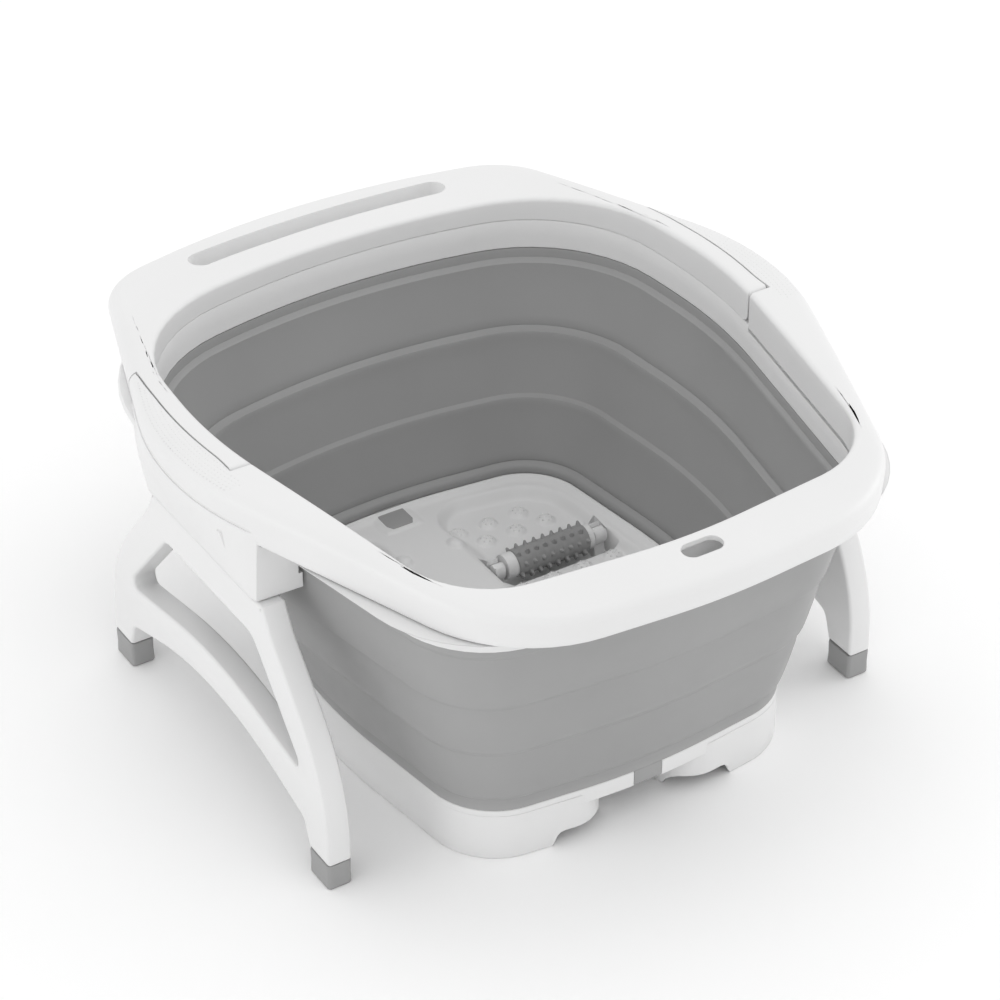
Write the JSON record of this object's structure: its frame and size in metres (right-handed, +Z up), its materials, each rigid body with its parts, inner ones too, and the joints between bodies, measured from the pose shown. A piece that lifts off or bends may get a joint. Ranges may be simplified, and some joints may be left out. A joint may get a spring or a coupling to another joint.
{
  "type": "foot_spa_basin",
  "caption": "Collapsible foot spa basin with a folding bellows wall, a swing-up carry handle, folding leg frames and spiked massage rollers in the floor.",
  "frame": {"origin": "Middle of the footprint, at floor level, with the basin standing open on its base and legs.", "axes": "X is to the right seen from the front, Y points from the front edge with the hanging slot to the rear with the grip, Z is up."},
  "size_m": [0.4368, 0.5052, 0.2366],
  "materials": {
    "white_plastic": "satin white polypropylene",
    "pin_steel": "plain ground pins",
    "grey_elastomer": "soft light grey thermoplastic rubber",
    "dark_rubber": "mid grey soft rubber",
    "grey_rubber": "matte grey rubber"
  },
  "bodies": {
    "rim": {"rim_frame": "white_plastic", "handle_pin_left": "pin_steel", "handle_pin_right": "pin_steel", "leg_pin_left_front": "pin_steel", "leg_pin_left_rear": "pin_steel", "leg_pin_right_front": "pin_steel", "leg_pin_right_rear": "pin_steel"},
    "handle": {"carry_handle": "white_plastic"},
    "base": {"base_tray": "white_plastic", "wall_anchor_front": "grey_elastomer", "wall_anchor_rear": "grey_elastomer", "folding_wall": "grey_elastomer"},
    "leg_left": {"leg_frame_left": "white_plastic", "foot_cap_left_front": "grey_rubber", "foot_cap_left_rear": "grey_rubber"},
    "leg_right": {"leg_frame_right": "white_plastic", "foot_cap_right_front": "grey_rubber", "foot_cap_right_rear": "grey_rubber"},
    "roller_left": {"roller_axle_left": "white_plastic", "roller_sleeve_left": "dark_rubber", "roller_collar_left": "white_plastic"},
    "roller_right": {"roller_axle_right": "white_plastic", "roller_sleeve_right": "dark_rubber", "roller_collar_right": "white_plastic"}
  },
  "joints": [
    {"name": "handle_swing", "type": "hinge", "parent": "rim", "child": "handle", "pos_m": [0, -0.01367, 0.229], "axis": [1, 0, 0], "range_deg": [0, 95]},
    {"name": "base_lift", "type": "slide", "parent": "rim", "child": "base", "axis": [0, 0, 1], "range_m": [0, 0.14], "deforming": ["folding_wall"]},
    {"name": "leg_fold_right", "type": "hinge", "parent": "rim", "child": "leg_right", "pos_m": [0.19, 0.00083, 0.174], "axis": [0, 1, 0], "range_deg": [0, 38.6]},
    {"name": "leg_fold_left", "type": "hinge", "parent": "rim", "child": "leg_left", "pos_m": [-0.19, 0.00083, 0.174], "axis": [0, -1, 0], "range_deg": [0, 38.6]},
    {"name": "roller_spin_left", "type": "hinge", "parent": "base", "child": "roller_left", "pos_m": [-0.07, 0.04033, 0.038], "axis": [1, 0, 0], "continuous": true},
    {"name": "roller_spin_right", "type": "hinge", "parent": "base", "child": "roller_right", "pos_m": [0.07, 0.04033, 0.038], "axis": [1, 0, 0], "continuous": true}
  ],
  "couplings": [
    {"joint": "leg_fold_right", "follows": "base_lift", "rad_per_m": 4.8},
    {"joint": "leg_fold_left", "follows": "base_lift", "rad_per_m": 4.8}
  ]
}
